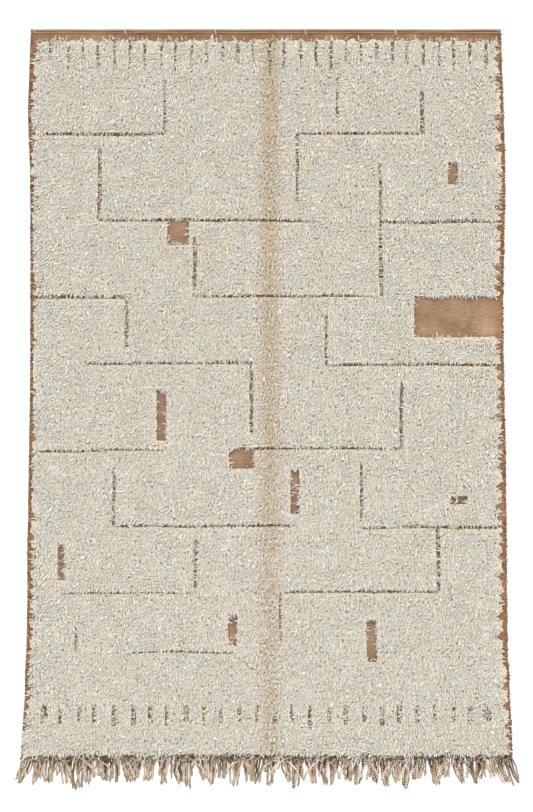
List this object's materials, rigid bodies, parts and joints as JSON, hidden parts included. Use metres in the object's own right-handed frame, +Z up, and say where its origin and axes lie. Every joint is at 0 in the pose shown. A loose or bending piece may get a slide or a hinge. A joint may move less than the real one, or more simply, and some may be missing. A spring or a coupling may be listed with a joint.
{
  "type": "beni ourain shag rug",
  "caption": "Flat cream wool shag rug on a brown flatweave, with bare furrows between blocks of pile, twined cords along the closed end and a fringe at the other.",
  "frame": {"origin": "on the floor, under the middle of the rug and its fringe", "axes": "+Z up out of the pile, +Y along the rug towards its closed end, +X across it to the right with the closed end away from the viewer"},
  "size_m": [2.0983, 3.2287, 0.0272],
  "materials": {
    "ground": "brown wool flatweave, matte",
    "pile": "undyed cream wool shag, soft and matte",
    "end_cord": "twined grey-brown warp cord, matte",
    "fringe": "twisted beige warp ends, matte"
  },
  "bodies": {
    "root": {"ground_weave": "ground", "pile": "pile", "end_cord_outer": "end_cord", "end_cord_inner": "end_cord", "fringe": "fringe"}
  },
  "joints": []
}
